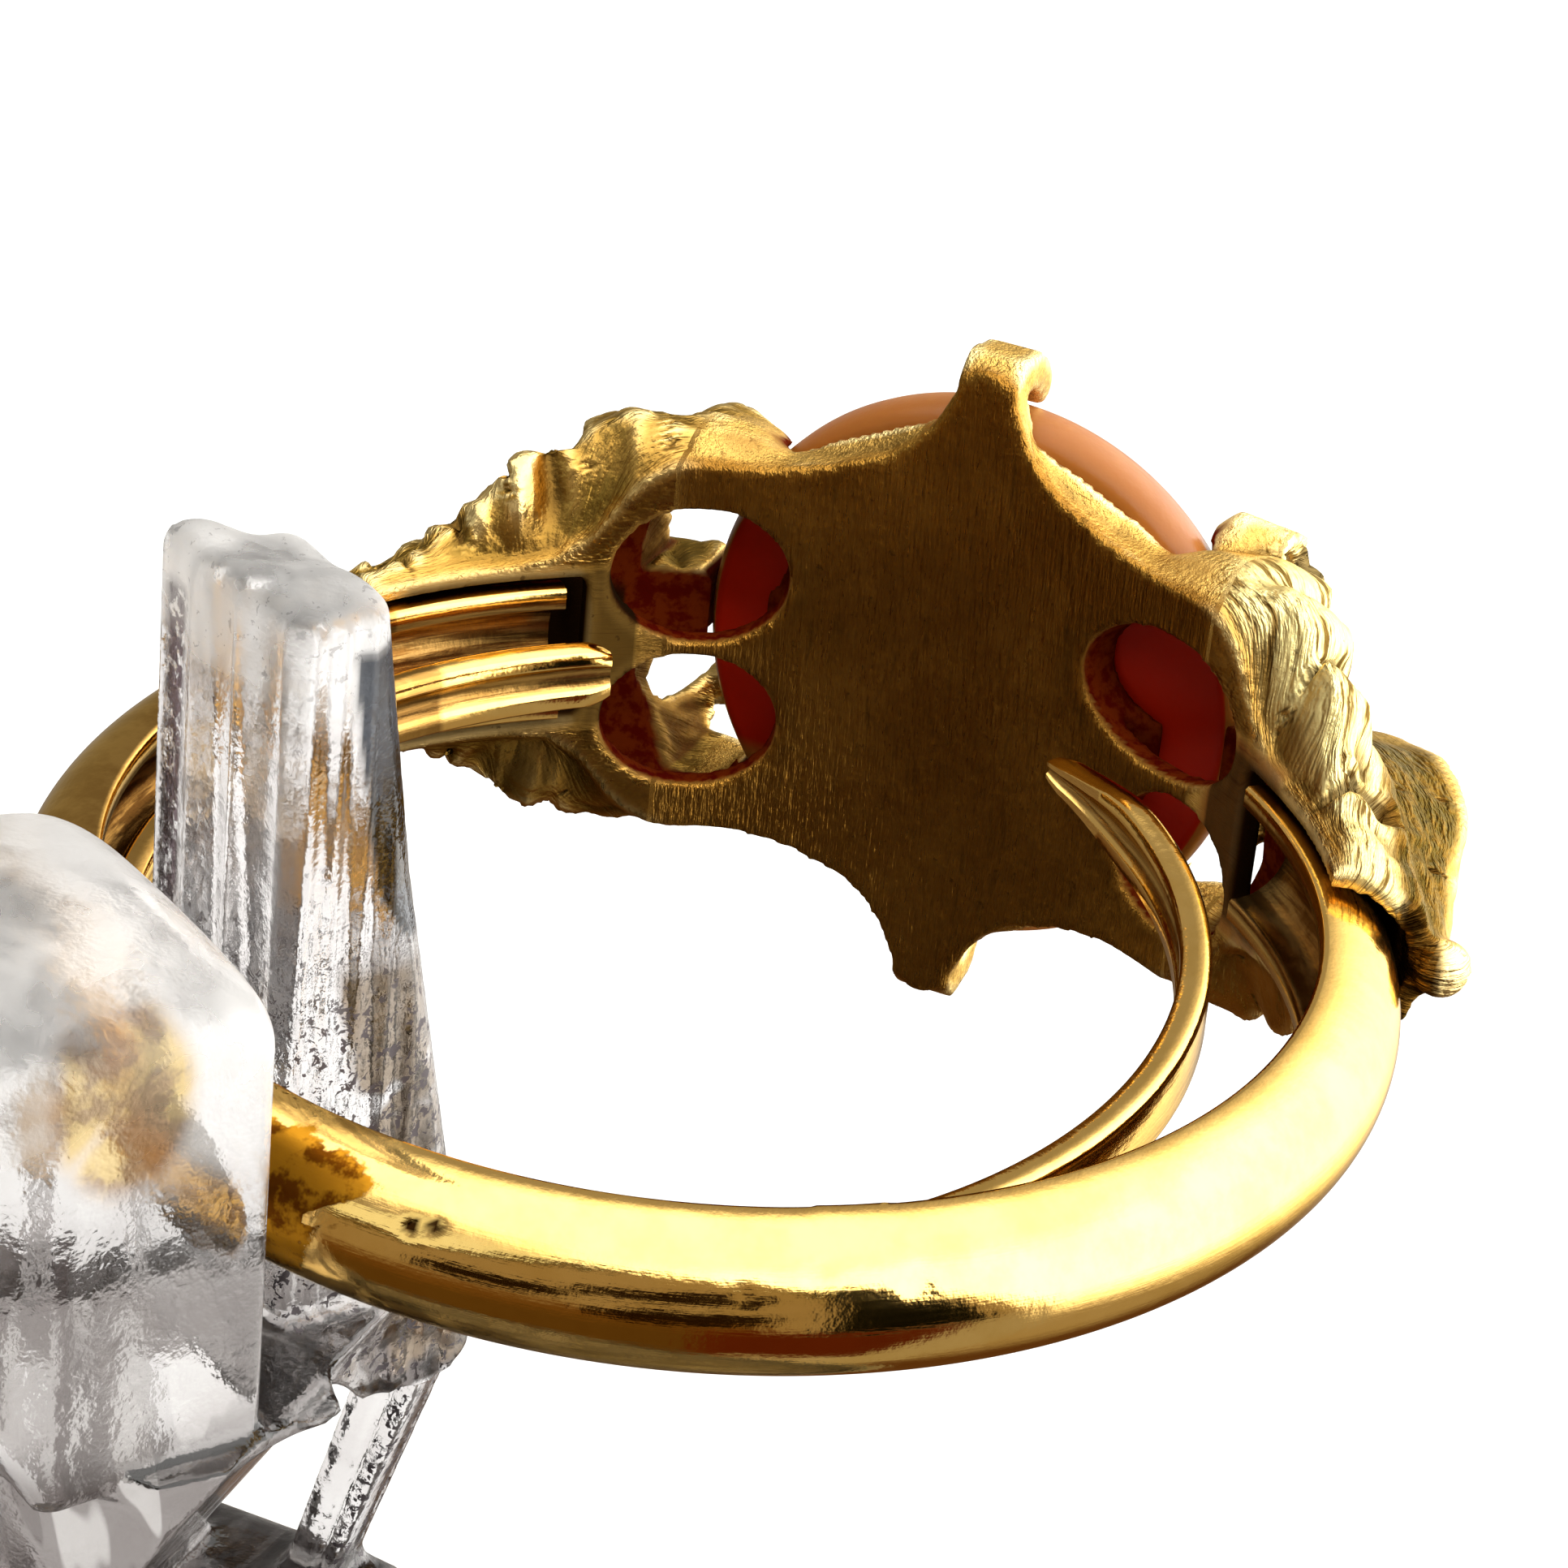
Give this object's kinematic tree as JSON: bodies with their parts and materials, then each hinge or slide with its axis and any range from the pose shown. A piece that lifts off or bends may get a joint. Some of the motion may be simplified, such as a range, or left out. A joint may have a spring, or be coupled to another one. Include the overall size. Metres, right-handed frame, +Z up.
{
  "type": "carved rose ring on a clear clip stand",
  "caption": "Adjustable gold-tone ring with a carved coral rose in a leafy cast setting, held upright by a clear clip stand.",
  "frame": {"origin": "centre of the round base's underside, where the stand rests on a table", "axes": "+Z up, along the finger and the post; +Y from the ring's centre out through the rose; +X towards the ring's right shoulder"},
  "size_m": [0.0302, 0.0387, 0.0306],
  "materials": {
    "cast_gold": "brushed antique gold plate on a casting, darker in its hollows",
    "polished_gold": "polished yellow gold plate with faint scratches and an amber tarnish",
    "coral_resin": "smooth coral-coloured resin, slightly waxy, deep orange where light passes through",
    "clear_acrylic": "clear moulded acrylic, faintly ribbed and scuffed, with a few dark specks"
  },
  "bodies": {
    "root": {"setting": "cast_gold", "shank": "polished_gold", "carved_rose": "coral_resin", "clip_stand": "clear_acrylic"}
  },
  "joints": []
}
